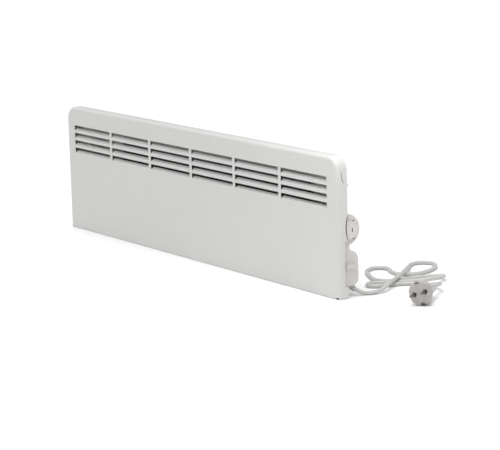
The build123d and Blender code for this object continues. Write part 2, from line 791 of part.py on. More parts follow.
# edging pressed onto the thumb notch of the cover
notch_middle_y = cover_rear_y - thumb_notch_depth
with BuildPart() as thumb_notch_edging:
    with BuildSketch(end_plane(width / 2 - sheet)):
        with Locations((notch_middle_y + thumb_notch_radius, thumb_notch_z)):
            Circle(thumb_notch_radius - running_gap / 2)
        with Locations((notch_middle_y + edging_width + edging_radius, thumb_notch_z)):
            Circle(edging_radius, mode=Mode.SUBTRACT)
        with Locations((cover_rear_y + thumb_notch_radius, thumb_notch_z)):
            Rectangle(2 * thumb_notch_radius, 2 * thumb_notch_radius, mode=Mode.SUBTRACT)
    extrude(amount=sheet)
thumb_notch_edging.part.label = "thumb_notch_edging"
export_step(thumb_notch_edging.part, "parts/thumb_notch_edging.step")

# =============================================================================================
# Thermostat and dial
# =============================================================================================
fascia_inner_x = box_face_x - box_wall
collar_x = fascia_inner_x - collar_length
thermostat_x = collar_x - thermostat_length
knob_x = box_face_x + knob_gap
knob_face_x = knob_x + knob_length
shaft_start_x = collar_x - collar_length
shaft_end_x = knob_face_x - knob_face_thick


def shaft_section(radius):
    """Round shaft with one flat."""
    Circle(radius)
    with Locations((0, radius - shaft_flat / 2)):
        Rectangle(2 * radius, shaft_flat, mode=Mode.SUBTRACT)


with BuildPart() as thermostat:
    with BuildSketch(end_plane(thermostat_x)):
        with Locations((dial_y, dial_z)):
            Rectangle(thermostat_width, thermostat_height)
        fillet(vertices(), radius=2)
    extrude(amount=thermostat_length)
    with BuildSketch(end_plane(collar_x)):
        with Locations((dial_y, dial_z)):
            Circle(collar_radius)
    extrude(amount=collar_length)
    with BuildSketch(end_plane(fascia_inner_x)):
        with Locations((dial_y, dial_z)):
            Circle(bushing_radius)
    extrude(amount=box_wall - seat_gap)
    with BuildSketch(end_plane(shaft_start_x - seat_gap)):
        with Locations((dial_y, dial_z)):
            Circle(shaft_radius + running_gap)
    extrude(amount=box_face_x - shaft_start_x, mode=Mode.SUBTRACT)
thermostat.part.label = "thermostat"
export_step(thermostat.part, "parts/thermostat.step")

with BuildPart() as thermostat_shaft:
    with BuildSketch(end_plane(shaft_start_x)):
        with Locations((dial_y, dial_z)):
            Circle(shaft_radius)
    extrude(amount=knob_x - shaft_start_x)
    with BuildSketch(Plane(origin=(knob_x, dial_y, dial_z), x_dir=(0, 1, 0), z_dir=(1, 0, 0))):
        shaft_section(shaft_radius)
    extrude(amount=shaft_end_x - knob_x)
thermostat_shaft.part.label = "thermostat_shaft"
export_step(thermostat_shaft.part, "parts/thermostat_shaft.step")

dial_plane = Plane(origin=(knob_x, dial_y, dial_z), x_dir=(0, 1, 0), z_dir=(1, 0, 0))
with BuildPart() as dial_knob:
    with BuildSketch(dial_plane):
        Circle(knob_radius)
        with PolarLocations(knob_radius, knob_grooves):
            Circle(knob_groove_radius, mode=Mode.SUBTRACT)
    extrude(amount=knob_length)
    with BuildSketch(dial_plane):
        shaft_section(shaft_radius + running_gap)
    extrude(amount=knob_length - knob_face_thick, mode=Mode.SUBTRACT)
    with BuildSketch(dial_plane.offset(knob_length - pointer_depth)):
        with Locations((pointer_offset, 0)):
            Rectangle(pointer_width, pointer_length)
    extrude(amount=pointer_depth, mode=Mode.SUBTRACT)
dial_knob.part.label = "dial_knob"
export_step(dial_knob.part, "parts/dial_knob.step")

# =============================================================================================
# Rocker switch
# =============================================================================================
pivot_x = box_face_x - pivot_inset
bezel_x = box_face_x + bezel_thick
switch_rear_x = box_face_x - switch_body_depth
switch_middle = (switch_y, switch_z)

with BuildPart() as switch_body:
    with BuildSketch(end_plane(box_face_x)):
        with Locations(switch_middle):
            Rectangle(bezel_length, bezel_height)
        fillet(vertices(), radius=2)
    extrude(amount=bezel_thick)
    with BuildSketch(end_plane(switch_rear_x)):
        with Locations(switch_middle):
            Rectangle(switch_body_length, switch_body_height)
    extrude(amount=switch_body_depth)
    with BuildSketch(end_plane(bezel_x)):
        with Locations(switch_middle):
            Rectangle(2 * switch_mouth_half, rocker_width + 2 * rocker_gap)
    extrude(amount=-(bezel_thick + pivot_inset + rocker_keel + seat_gap), mode=Mode.SUBTRACT)
    with BuildSketch(Plane.XY.offset(switch_z)):
        with Locations((pivot_x, switch_y)):
            Circle(pivot_radius + running_gap)
    extrude(amount=pivot_length / 2 + running_gap, both=True, mode=Mode.SUBTRACT)
switch_body.part.label = "switch_body"
export_step(switch_body.part, "parts/switch_body.step")

tilt = math.radians(rocker_tilt)
rocker_plane = Plane(
    origin=(pivot_x, switch_y, switch_z), x_dir=(math.cos(tilt), -math.sin(tilt), 0), z_dir=(0, 0, 1)
)
with BuildPart() as switch_rocker:
    with BuildSketch(rocker_plane):
        with BuildLine():
            Polyline(
                (rocker_crown, rocker_half_length),
                (rocker_dish, 0),
                (rocker_crown, -rocker_half_length),
                (-pivot_radius, -rocker_half_length),
                (-rocker_keel, -pivot_radius),
                (-rocker_keel, pivot_radius),
                (-pivot_radius, rocker_half_length),
                close=True,
            )
        make_face()
    extrude(amount=rocker_width / 2, both=True)
    with BuildSketch(rocker_plane):
        Circle(pivot_radius)
    extrude(amount=pivot_length / 2, both=True)
switch_rocker.part.label = "switch_rocker"
export_step(switch_rocker.part, "parts/switch_rocker.step")

spade_places = (switch_y - spade_spread, switch_y + spade_spread)
with BuildPart() as switch_spades:
    with BuildSketch(end_plane(switch_rear_x)):
        with Locations(*[(y, switch_z) for y in spade_places]):
            Rectangle(spade_thick, spade_width)
    extrude(amount=-spade_length)
switch_spades.part.label = "switch_spades"
export_step(switch_spades.part, "parts/switch_spades.step")

# =============================================================================================
# Terminal block and cord clamp, both on the lid
# =============================================================================================
pole_places = [block_y + (pole - (poles - 1) / 2) * pole_pitch for pole in range(poles)]
pole_x = box_left_x + block_depth / 2
block_bottom = block_z - block_height / 2
block_top = block_z + block_height / 2

with BuildPart() as terminal_block:
    with BuildSketch(end_plane(box_left_x)):
        with Locations((block_y, block_z)):
            Rectangle(block_width, block_height)
        fillet(vertices(), radius=1)
    extrude(amount=block_depth)
    with BuildSketch(Plane.XY.offset(block_bottom)):
        with Locations(*[(pole_x, y) for y in pole_places]):
            Circle(wire_radius + running_gap)
    extrude(amount=block_height, mode=Mode.SUBTRACT)
    with BuildSketch(end_plane(box_left_x + block_depth)):
        with Locations(*[(y, block_z) for y in pole_places]):
            Circle(pole_screw_radius + running_gap)
    extrude(amount=-pole_screw_length, mode=Mode.SUBTRACT)
terminal_block.part.label = "terminal_block"
export_step(terminal_block.part, "parts/terminal_block.step")

with BuildPart() as terminal_screws:
    with BuildSketch(end_plane(box_left_x + block_depth)):
        with Locations(*[(y, block_z) for y in pole_places]):
            Circle(pole_screw_radius)
    extrude(amount=-pole_screw_length)
    with BuildSketch(end_plane(box_left_x + block_depth)):
        with Locations(*[(y, block_z) for y in pole_places]):
            Rectangle(2 * pole_screw_radius, 0.6)
    extrude(amount=-0.8, mode=Mode.SUBTRACT)
terminal_screws.part.label = "terminal_screws"
export_step(terminal_screws.part, "parts/terminal_screws.step")

with BuildPart() as cord_clamp:
    with BuildSketch(Plane.XY.offset(clamp_bottom)):
        with Locations((box_left_x + clamp_depth / 2, lead_top.Y)):
            Rectangle(clamp_depth, clamp_width)
        fillet(vertices().group_by(Axis.X)[-1], radius=4)
        with Locations((lead_top.X, lead_top.Y)):
            Circle(cord_radius, mode=Mode.SUBTRACT)
    extrude(amount=clamp_height)
    with BuildSketch(end_plane(box_left_x)):
        with Locations(*clamp_screw_places):
            Circle(lid_screw_radius + running_gap)
    extrude(amount=lid_screw_length - lid_thick + seat_gap, mode=Mode.SUBTRACT)
cord_clamp.part.label = "cord_clamp"
export_step(cord_clamp.part, "parts/cord_clamp.step")

# =============================================================================================
# Mains lead
# =============================================================================================
runs = [points[i + 1] - points[i] for i in range(len(points) - 1)]
corner_radii = []
for before, after in zip(runs[:-1], runs[1:]):
    half_turn = math.radians(before.get_angle(after)) / 2
    corner_radii.append(cord_arc_share * min(before.length, after.length) / math.tan(half_turn))
print("lead radii", [round(radius, 1) for radius in corner_radii])


def stretch_of_route(first, last):
    """Points from the middle of the run before `first` to the middle of the run after `last`."""
    start = points[0] if first == 1 else (points[first - 1] + points[first]) / 2
    end = points[-1] if last == len(points) - 2 else (points[last] + points[last + 1]) / 2
    return [start] + points[first : last + 1] + [end], corner_radii[first - 1 : last]


def lead_stretch(first, last):
    """Round tube through the corners first..last of the route, and its centre line."""
    places, radii = stretch_of_route(first, last)
    with BuildPart() as stretch:
        with BuildLine():
            centre_line = FilletPolyline(*places, radius=radii)
        with BuildSketch(Plane(origin=centre_line @ 0, z_dir=centre_line % 0)):
            Circle(cord_radius)
        sweep()
    ratio = stretch.part.volume / (math.pi * cord_radius**2 * centre_line.length)
    print("lead stretch", round(centre_line.length, 1), "mm, volume over section x length", round(ratio, 4))
    return stretch.part, centre_line


cord_lead, lead_line = lead_stretch(1, hank_first_index - 1)
cord_hank, hank_line = lead_stretch(hank_first_index, hank_last_index)
cord_end, end_line = lead_stretch(hank_last_index + 1, len(points) - 2)
for stretch, name in ((cord_lead, "cord_lead"), (cord_hank, "cord_hank"), (cord_end, "cord_end")):
    stretch.label = name
    export_step(stretch, f"parts/{name}.step")

# least gap of the lead to itself, on points 2 mm apart
track = []
for line in (lead_line, hank_line, end_line):
    steps = int(line.length / 2)
    track += [line.position_at(i / steps) for i in range(steps)]
apart = int(30 / 2)
least = min(
    (track[i] - track[j]).length for i in range(len(track)) for j in range(i + apart, len(track))
)
print("lead", round(2 * len(track)), "mm, least gap to itself", round(least - cord_diameter, 2), "mm")

with BuildPart() as strain_relief:
    with BuildSketch(Plane(origin=cord_exit - exit_way * relief_inside, z_dir=exit_way)):
        Circle(relief_root_radius)
    extrude(amount=relief_inside)
    with BuildSketch(Plane(origin=cord_exit, z_dir=exit_way)):
        Circle(relief_root_radius)
    with BuildSketch(Plane(origin=cord_exit + exit_way * relief_outside, z_dir=exit_way)):
        Circle(relief_tip_radius)
    loft()
    with BuildSketch(Plane(origin=cord_exit - exit_way * relief_inside, z_dir=exit_way)):
        Circle(cord_radius)
    extrude(amount=relief_inside + relief_outside, mode=Mode.SUBTRACT)
strain_relief.part.label = "strain_relief"
export_step(strain_relief.part, "parts/strain_relief.step")

# =============================================================================================
# Plug
# =============================================================================================
pin_way = (points[-1] - points[-2]).normalized()
plug_face = points[-1] + pin_way * plug_length
level = Vector(0, 0, 1).cross(pin_way).normalized()
roll = math.radians(pin_line_tilt)
pin_line = level * math.cos(roll) + pin_way.cross(level) * math.sin(roll)
plug_plane = Plane(origin=plug_face, x_dir=pin_line, z_dir=pin_way)
plug_side = Plane(origin=plug_face, x_dir=pin_line, z_dir=-pin_way.cross(pin_line))

with BuildPart() as plug_body:
    with BuildSketch(plug_side):
        with BuildLine():
            Polyline(
                (0, -plug_length),
                (0, 0),
                (plug_radius - 1, 0),
                (plug_radius, -1),
                (plug_radius, 1.5 - plug_rim),
                (plug_radius - 1.5, -plug_rim),
            )
            shoulder = ((plug_radius + plug_neck_radius) / 2 + 1.5, -(plug_rim + plug_neck_start) / 2)
            ThreePointArc((plug_radius - 1.5, -plug_rim), shoulder, (plug_neck_radius, -plug_neck_start))
            neck_tip = (plug_neck_radius - plug_neck_round, -plug_neck_end)
            Line((plug_neck_radius, -plug_neck_start), (plug_neck_radius, plug_neck_round - plug_neck_end))
            RadiusArc((plug_neck_radius, plug_neck_round - plug_neck_end), neck_tip, plug_neck_round)
            Polyline(neck_tip, (plug_boot_radius, -plug_length), (0, -plug_length))
        make_face()
    revolve(axis=Axis(plug_face, pin_way))
    with BuildSketch(plug_plane):
        Rectangle(4 * plug_radius, 4 * plug_radius)
        Rectangle(plug_flat, 4 * plug_radius, mode=Mode.SUBTRACT)
    extrude(amount=-plug_length, mode=Mode.SUBTRACT)
    with BuildSketch(plug_side):
        with BuildLine():
            Polyline(
                (plug_radius + 1, -plug_side_rim),
                (plug_radius - plug_grip_slope / 2, -plug_side_rim),
                (plug_grip_half, -plug_side_rim - plug_grip_slope),
                (plug_grip_half, -plug_neck_start),
                (plug_radius + 1, -plug_neck_start),
                close=True,
            )
        make_face()
        mirror(about=Plane.YZ)
    extrude(amount=2 * plug_radius, both=True, mode=Mode.SUBTRACT)
    with BuildSketch(plug_plane):
        with Locations((-pin_pitch / 2, 0), (pin_pitch / 2, 0)):
            Circle(pin_well_radius)
    extrude(amount=-pin_well_depth, mode=Mode.SUBTRACT)
    with BuildSketch(plug_plane):
        notch_middle = plug_radius - clip_notch_depth / 2
        with Locations((0, notch_middle), (0, -notch_middle)):
            Rectangle(clip_width + 2, clip_notch_depth)
    extrude(amount=-(clip_length + 1.5), mode=Mode.SUBTRACT)
plug_body.part.label = "plug_body"
export_step(plug_body.part, "parts/plug_body.step")

with BuildPart() as plug_pins:
    with BuildSketch(plug_plane.offset(-pin_well_depth)):
        with Locations((-pin_pitch / 2, 0), (pin_pitch / 2, 0)):
            Circle(pin_radius)
    extrude(amount=pin_well_depth + pin_length)
    chamfer(faces().sort_by(Axis(plug_face, pin_way))[-2:].edges(), length=pin_tip, length2=pin_tip / 2)
plug_pins.part.label = "plug_pins"
export_step(plug_pins.part, "parts/plug_pins.step")

with BuildPart() as plug_earth_clips:
    with BuildSketch(plug_plane):
        clip_middle = plug_radius - clip_notch_depth + clip_thick / 2
        with Locations((0, clip_middle), (0, -clip_middle)):
            Rectangle(clip_width, clip_thick)
    extrude(amount=-clip_length)
plug_earth_clips.part.label = "plug_earth_clips"
export_step(plug_earth_clips.part, "parts/plug_earth_clips.step")

# =============================================================================================
# Inner wires and their grommet
# =============================================================================================
with BuildPart() as wire_grommet:
    with BuildSketch(end_plane(tray_half_width - sheet - grommet_lip)):
        with Locations((grommet_y, grommet_z)):
            Circle(grommet_radius + grommet_lip)
    extrude(amount=sheet + 2 * grommet_lip)
    with BuildSketch(end_plane(tray_half_width - sheet)):
        with Locations((grommet_y, grommet_z)):
            Circle(grommet_radius + grommet_lip)
            Circle(grommet_radius, mode=Mode.SUBTRACT)
    extrude(amount=sheet, mode=Mode.SUBTRACT)
    with BuildSketch(end_plane(tray_half_width - sheet - grommet_lip)):
        with Locations((grommet_y, grommet_z)):
            Circle(grommet_bore)
    extrude(amount=sheet + 2 * grommet_lip, mode=Mode.SUBTRACT)
wire_grommet.part.label = "wire_grommet"
export_step(wire_grommet.part, "parts/wire_grommet.step")

lead_x = lead_top.X
lead_y = lead_top.Y
lead_z = lead_top.Z
core_spread = cord_radius * 0.45
cutout_wire_y = plate_y - (cutout_length + spade_thick) / 2
stud_tip = stud_start + stud_length
holder_face_x = bracket_x + bracket_sheet
tag_z = switch_z + spade_width / 2
tag_rise = 1.6 * wire_bend  # from a tag to its wire's first bend
tag_x = switch_rear_x - 0.6 * wire_bend
bundle_x = box_left_x + wire_bend
left_pole_y = pole_places[0]
right_pole_y = pole_places[1]
side_gap = 2 * wire_radius + 0.8  # spacing of the wires in the grommet
line_z = grommet_z + side_gap * 0.6
bundle_z = grommet_z - side_gap * 0.4
neutral_y = grommet_y - side_gap / 2
earth_y = grommet_y + side_gap / 2
wire_paths = [
    # live core of the lead to the switch
    [
        (lead_x + core_spread, lead_y + core_spread, lead_z),
        (lead_x + core_spread, lead_y + core_spread, tag_z + tag_rise),
        (lead_x + core_spread, spade_places[1], tag_z + tag_rise),
        (lead_x + core_spread, spade_places[1], tag_z),
    ],
    # neutral and earth cores to the terminal block
    [
        (lead_x - 0.5, lead_y - core_spread, lead_z),
        (lead_x - 0.5, lead_y - core_spread, lead_z + wire_bend),
        (pole_x, left_pole_y, block_bottom - wire_bend),
        (pole_x, left_pole_y, block_bottom + wire_seat),
    ],
    [
        (lead_x - 1.7, lead_y + core_spread / 2, lead_z),
        (lead_x - 1.7, lead_y + core_spread / 2, lead_z + wire_bend),
        (pole_x, right_pole_y, block_bottom - wire_bend),
        (pole_x, right_pole_y, block_bottom + wire_seat),
    ],
    # switch to thermostat
    [
        (tag_x, spade_places[0], tag_z),
        (tag_x, spade_places[0], tag_z + 4 * wire_bend),
        (tag_x, dial_y - 2 * wire_bend, tag_z + 7 * wire_bend),
        (tag_x, dial_y - 2 * wire_bend, dial_z - thermostat_height / 2),
    ],
    # thermostat through the grommet to the overheat cut-out
    [
        (thermostat_x, grommet_y, line_z),
        (behind_x + 2, grommet_y, line_z),
        (behind_x - 12, cutout_wire_y, cutout_z),
        (cutout_x + cutout_radius + spade_length, cutout_wire_y, cutout_z),
    ],
    # cut-out to the right-hand end of the rod
    [
        (cutout_x - cutout_radius - spade_length, cutout_wire_y, cutout_z),
        (cutout_x - cutout_radius - 2.6 * spade_length, cutout_wire_y, cutout_z),
        (cutout_x - cutout_radius - 2.6 * spade_length, cutout_wire_y, cutout_z + cutout_radius + wire_bend),
        (behind_x, cutout_wire_y, cutout_z + cutout_radius + wire_bend),
        (behind_x, element_y, element_z),
        (stud_tip, element_y, element_z),
    ],
    # neutral from the block to the left-hand end of the rod
    [
        (pole_x, left_pole_y, block_top - wire_seat),
        (pole_x, left_pole_y, block_top + 6 * wire_bend),
        (bundle_x, neutral_y, bundle_z - 5),
        (bundle_x, neutral_y, bundle_z),
        (behind_x - high_bend, neutral_y, bundle_z),
        (behind_x - low_bend, cutout_wire_y, cutout_z + level_rise),
        (left_bend - behind_x, cutout_wire_y, cutout_z + level_rise),
        (left_drop - behind_x, element_y, element_z),
        (-stud_tip, element_y, element_z),
    ],
    # earth from the block to the right-hand holder
    [
        (pole_x, right_pole_y, block_top - wire_seat),
        (pole_x, right_pole_y, block_top + 6 * wire_bend),
        (bundle_x, earth_y, bundle_z - 5),
        (bundle_x, earth_y, bundle_z),
        (behind_x + 2, earth_y, bundle_z),
        (stud_tip - 4, element_y + 10, element_z + 13),
        (holder_face_x, element_y + 10, element_z + 13),
    ],
]
with BuildPart() as inner_wires:
    for path in wire_paths:
        with BuildLine():
            wire_line = FilletPolyline(*path, radius=wire_bend)
        with BuildSketch(Plane(origin=wire_line @ 0, z_dir=wire_line % 0)):
            Circle(wire_radius)
        sweep(path=wire_line)
print("inner wires", len(inner_wires.part.solids()), "of", len(wire_paths))
inner_wires.part.label = "inner_wires"
export_step(inner_wires.part, "parts/inner_wires.step")

# =============================================================================================
# Wall brackets, quarter-turn locks and bumpers
# =============================================================================================
plate_front_y = wall_y - wall_bracket_sheet
hook_tip_y = tray_inner_y - hook_reach
arm_tip_y = tray_rear_y + bumper_thick
shelf_top_z = hook_z + wall_bracket_sheet


def wall_bracket(x):
    """Steel bracket: wall plate with side flanges, a hook shelf and a low arm."""
    with BuildPart() as bracket:
        with BuildSketch(front_plane(wall_y)):
            with Locations((x, wall_bracket_top / 2)):
                Rectangle(wall_bracket_width, wall_bracket_top)
            fillet(vertices().group_by(Axis.Y)[-1], radius=6)
        extrude(amount=wall_bracket_sheet)
        for side in (-1, 1):
            with BuildSketch(front_plane(plate_front_y)):
                with Locations((x + side * (wall_bracket_width - wall_bracket_sheet) / 2, flange_top / 2)):
                    Rectangle(wall_bracket_sheet, flange_top)
            extrude(amount=channel_depth - wall_bracket_sheet)
        with BuildSketch(Plane.XY.offset(hook_z)):
            with Locations((x, (plate_front_y + hook_tip_y) / 2)):
                Rectangle(shelf_width, plate_front_y - hook_tip_y)
            with Locations((x, lock_y)):
                Circle(lock_pin_radius + running_gap, mode=Mode.SUBTRACT)
        extrude(amount=wall_bracket_sheet)
        with BuildSketch(front_plane(hook_tip_y + wall_bracket_sheet)):
            with Locations((x, shelf_top_z + hook_lip / 2)):
                Rectangle(shelf_width, hook_lip)
        extrude(amount=wall_bracket_sheet)
        with BuildSketch(Plane.XY.offset(low_arm_z)):
            with Locations((x, (plate_front_y + arm_tip_y) / 2)):
                Rectangle(shelf_width, plate_front_y - arm_tip_y)
        extrude(amount=wall_bracket_sheet)
        with BuildSketch(front_plane(arm_tip_y + wall_bracket_sheet)):
            with Locations((x, low_arm_z + wall_bracket_sheet + low_arm_rise / 2)):
                Rectangle(shelf_width, low_arm_rise)
        extrude(amount=wall_bracket_sheet)
        with BuildSketch(front_plane(wall_y + wall_bracket_sheet)):
            with Locations((x, wall_hole_low), (x, wall_hole_high)):
                Circle(wall_hole_radius)
        extrude(amount=3 * wall_bracket_sheet, mode=Mode.SUBTRACT)
    return bracket.part


def bracket_lock(x):
    """Quarter-turn lock: slotted head over the shelf, pin through it, tab under it."""
    with BuildPart() as lock:
        with BuildSketch(Plane.XY.offset(hook_z - seat_gap - lock_tab_thick)):
            with Locations((x, lock_y)):
                Circle(lock_tab_half_width)
            with Locations((x, lock_y - lock_tab_length / 2)):
                Rectangle(2 * lock_tab_half_width, lock_tab_length)
        extrude(amount=lock_tab_thick)
        with BuildSketch(Plane.XY.offset(hook_z - seat_gap)):
            with Locations((x, lock_y)):
                Circle(lock_pin_radius)
        extrude(amount=wall_bracket_sheet + 2 * seat_gap)
        with BuildSketch(Plane.XY.offset(shelf_top_z + seat_gap)):
            with Locations((x, lock_y)):
                Circle(lock_head_radius)
        extrude(amount=lock_head_height)
        with BuildSketch(Plane.XY.offset(shelf_top_z + seat_gap + lock_head_height)):
            with Locations((x, lock_y)):
                Rectangle(lock_slot_width, 2 * lock_head_radius)
        extrude(amount=-lock_slot_depth, mode=Mode.SUBTRACT)
    return lock.part


for side, hand in ((-1, "left"), (1, "right")):
    bracket = wall_bracket(side * wall_bracket_x)
    bracket.label = f"wall_bracket_{hand}"
    export_step(bracket, f"parts/wall_bracket_{hand}.step")
    lock = bracket_lock(side * wall_bracket_x)
    lock.label = f"bracket_lock_{hand}"
    export_step(lock, f"parts/bracket_lock_{hand}.step")

with BuildPart() as rear_bumpers:
    with BuildSketch(front_plane(tray_rear_y)):
        with Locations(*[(side * wall_bracket_x, low_arm_z + low_arm_rise / 2) for side in (-1, 1)]):
            Circle(bumper_radius)
    extrude(amount=-bumper_thick)
rear_bumpers.part.label = "rear_bumpers"
export_step(rear_bumpers.part, "parts/rear_bumpers.step")
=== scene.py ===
"""Low wall panel convector heater on white paper, its mains lead in loose loops behind it."""

import math

import bmesh
import bpy
from mathutils import Matrix, Vector


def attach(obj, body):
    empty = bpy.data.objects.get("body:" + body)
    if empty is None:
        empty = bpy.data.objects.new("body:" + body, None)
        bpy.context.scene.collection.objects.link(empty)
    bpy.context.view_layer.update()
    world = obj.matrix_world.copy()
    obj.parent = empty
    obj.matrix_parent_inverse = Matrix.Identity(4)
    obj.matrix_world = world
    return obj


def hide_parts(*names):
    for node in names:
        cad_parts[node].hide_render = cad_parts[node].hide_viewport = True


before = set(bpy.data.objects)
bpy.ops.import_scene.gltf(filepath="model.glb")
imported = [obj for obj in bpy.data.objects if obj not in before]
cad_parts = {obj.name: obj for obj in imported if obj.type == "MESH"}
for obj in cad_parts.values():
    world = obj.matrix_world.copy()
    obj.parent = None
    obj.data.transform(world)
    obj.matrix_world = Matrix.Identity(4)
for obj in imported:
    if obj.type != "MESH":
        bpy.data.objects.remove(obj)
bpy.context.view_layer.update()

# ---------------------------------------------------------------------------------------------
# The photographer's place: a long lens in front of the right-hand end, looking slightly down, as
# for a catalogue picture on a white paper sweep.
lens_data = bpy.data.cameras.new("catalogue_lens")
lens_data.sensor_width = 36
lens_data.lens = 155.354
camera = bpy.data.objects.new("catalogue_camera", lens_data)
camera.matrix_world = Matrix(
    (
        (0.57591456, -0.1414983, 0.80517119, 3.14538),
        (0.81705348, 0.13253279, -0.56112269, -2.1096),
        (-0.02731368, 0.98102665, 0.19193924, 0.79654),
        (0, 0, 0, 1),
    )
)
bpy.context.collection.objects.link(camera)
bpy.context.scene.camera = camera
bpy.context.scene.view_settings.view_transform = "Standard"


def linear(code):
    """An sRGB hex colour as linear light with alpha."""
    parts = [int(code[place : place + 2], 16) / 255 for place in (0, 2, 4)]
    return [part / 12.92 if part <= 0.04045 else ((part + 0.055) / 1.055) ** 2.4 for part in parts] + [1]


def add_node(tree, kind, settings=None, values=None, **links):
    """One node with its settings, socket values and the outputs that its sockets take."""
    made = tree.nodes.new(kind)
    for name, value in (settings or {}).items():
        setattr(made, name, value)
    for name, value in (values or {}).items():
        made.inputs[name].default_value = value
    for name, output in links.items():
        tree.links.new(output, made.inputs[name.replace("_", " ")])
    return made


def new_finish(name, colour, roughness, metallic=0.0):
    """A material, its nodes, its shader and where a point is on the piece."""
    finish = bpy.data.materials.new(name)
    finish.use_nodes = True
    tree = finish.node_tree
    shader = tree.nodes["Principled BSDF"]
    shader.inputs["Base Color"].default_value = linear(colour)
    shader.inputs["Roughness"].default_value = roughness
    shader.inputs["Metallic"].default_value = metallic
    place = add_node(tree, "ShaderNodeTexCoord").outputs["Object"]
    return finish, tree, shader, place


def noise(tree, place, grain, detail):
    """Soft noise whose grains are a size in metres."""
    sizes = {"Scale": 1 / grain, "Detail": detail}
    return add_node(tree, "ShaderNodeTexNoise", values=sizes, Vector=place).outputs["Fac"]


def mottle(tree, shader, pattern, first, second):
    """Lets the colour drift between two tones with a pattern."""
    tone = add_node(tree, "ShaderNodeMix", {"data_type": "RGBA"}, Factor=pattern)
    tone.inputs["A"].default_value = linear(first)
    tone.inputs["B"].default_value = linear(second)
    tree.links.new(tone.outputs["Result"], shader.inputs["Base Color"])


# Paper sweep: a wide sheet of matt white paper, lit until it is clean white.
paper, tree, shader, place = new_finish("matt_paper", "F4F4F4", 0.9)
grain = noise(tree, place, 1 / 3, 2.0)
mottle(tree, shader, grain, "F3F3F3", "F6F6F6")
sweep = bmesh.new()
bmesh.ops.create_grid(sweep, x_segments=2, y_segments=2, size=14)
sweep_mesh = bpy.data.meshes.new("paper_sweep")
sweep.to_mesh(sweep_mesh)
sweep_mesh.materials.append(paper)
paper_sweep = bpy.data.objects.new("paper_sweep", sweep_mesh)
bpy.context.collection.objects.link(paper_sweep)

# Studio light: a room that is dim at the level of the floor and bright overhead, a very wide
# diffuser above, and a small softbox close over the right-hand end.
room = bpy.data.worlds.new("white_room")
room.use_nodes = True
backdrop = room.node_tree.nodes["Background"]
backdrop.inputs["Color"].default_value = (1, 1, 1, 1)
outlook = add_node(room.node_tree, "ShaderNodeTexCoord").outputs["Generated"]
upward = add_node(room.node_tree, "ShaderNodeSeparateXYZ", Vector=outlook).outputs["Z"]
glow = {"To Min": 0.16, "To Max": 1.16}
strength = add_node(room.node_tree, "ShaderNodeMapRange", values=glow, Value=upward)
room.node_tree.links.new(strength.outputs["Result"], backdrop.inputs["Strength"])
bpy.context.scene.world = room
diffuser = bpy.data.lights.new("overhead_diffuser", "SUN")
diffuser.energy = 1.2
diffuser.angle = math.radians(60)
overhead_diffuser = bpy.data.objects.new("overhead_diffuser", diffuser)
overhead_diffuser.rotation_euler = Vector((0.15, 0.25, -1)).to_track_quat("-Z", "Y").to_euler()
bpy.context.collection.objects.link(overhead_diffuser)
softbox = bpy.data.lights.new("end_softbox", "AREA")
softbox.size = 0.3
softbox.energy = 1.0
end_softbox = bpy.data.objects.new("end_softbox", softbox)
end_softbox.location = (0.6, -0.12, 0.58)
softbox_aim = Vector((0.4, -0.02, 0.1)) - end_softbox.location
end_softbox.rotation_euler = softbox_aim.to_track_quat("-Z", "Y").to_euler()
bpy.context.collection.objects.link(end_softbox)

# ---------------------------------------------------------------------------------------------
# Mains lead: three cores in a round 7 mm sheath of extruded light grey PVC, 1.1 m long. It leaves
# the moulding through its relief and lies in loose, uneven loops behind the heater.
lead_route = [
    (0.3985, -0.0189, 0.042), (0.3985, -0.0189, 0.0293), (0.4193, 0.0061, 0.0035),
    (0.4307, 0.0255, 0.0035), (0.4305, 0.044, 0.006), (0.423, 0.06, 0.0109), (0.411, 0.08, 0.0114),
    (0.397, 0.101, 0.0115), (0.38, 0.125, 0.0114), (0.36, 0.149, 0.0115), (0.339, 0.171, 0.009),
    (0.32, 0.189, 0.0045), (0.304, 0.205, 0.0035), (0.297, 0.223, 0.0035), (0.307, 0.241, 0.0035),
    (0.326, 0.243, 0.0035), (0.343, 0.232, 0.0035), (0.356, 0.215, 0.0035), (0.365, 0.192, 0.0035),
    (0.368, 0.169, 0.0035), (0.358, 0.15, 0.0035), (0.338, 0.143, 0.0035), (0.319, 0.151, 0.0035),
    (0.303, 0.16, 0.0035), (0.287, 0.156, 0.0035), (0.281, 0.141, 0.0035), (0.289, 0.123, 0.0035),
    (0.305, 0.11, 0.0035), (0.324, 0.101, 0.0035), (0.342, 0.091, 0.0035), (0.363, 0.087, 0.0035),
    (0.379, 0.098, 0.0035), (0.386, 0.117, 0.0035), (0.387, 0.139, 0.0035), (0.392, 0.159, 0.0035),
    (0.401, 0.175, 0.0045), (0.413, 0.184, 0.006), (0.426, 0.182, 0.0075), (0.432, 0.169, 0.008),
    (0.427, 0.152, 0.0072), (0.416, 0.134, 0.0045), (0.401, 0.118, 0.0035), (0.391, 0.098, 0.0035),
    (0.381, 0.081, 0.0035), (0.37, 0.067, 0.0035), (0.376, 0.053, 0.0035), (0.391, 0.051, 0.0035),
    (0.4, 0.067, 0.0035), (0.404, 0.089, 0.0035), (0.413, 0.109, 0.0035), (0.43, 0.122, 0.0035),
    (0.45, 0.13, 0.0045), (0.468, 0.131, 0.0075), (0.484, 0.124, 0.012), (0.4961, 0.1092, 0.0159),
    (0.508, 0.0891, 0.0171),
]
lead_diameter = 0.007
lead_exit = (0.408, -0.00745, 0.0175)


def emboss(tree, shader, pattern, strength, height):
    """Gives the surface a fine relief of a height in metres."""
    sizes = {"Strength": strength, "Distance": height}
    relief = add_node(tree, "ShaderNodeBump", values=sizes, Height=pattern)
    tree.links.new(relief.outputs["Normal"], shader.inputs["Normal"])


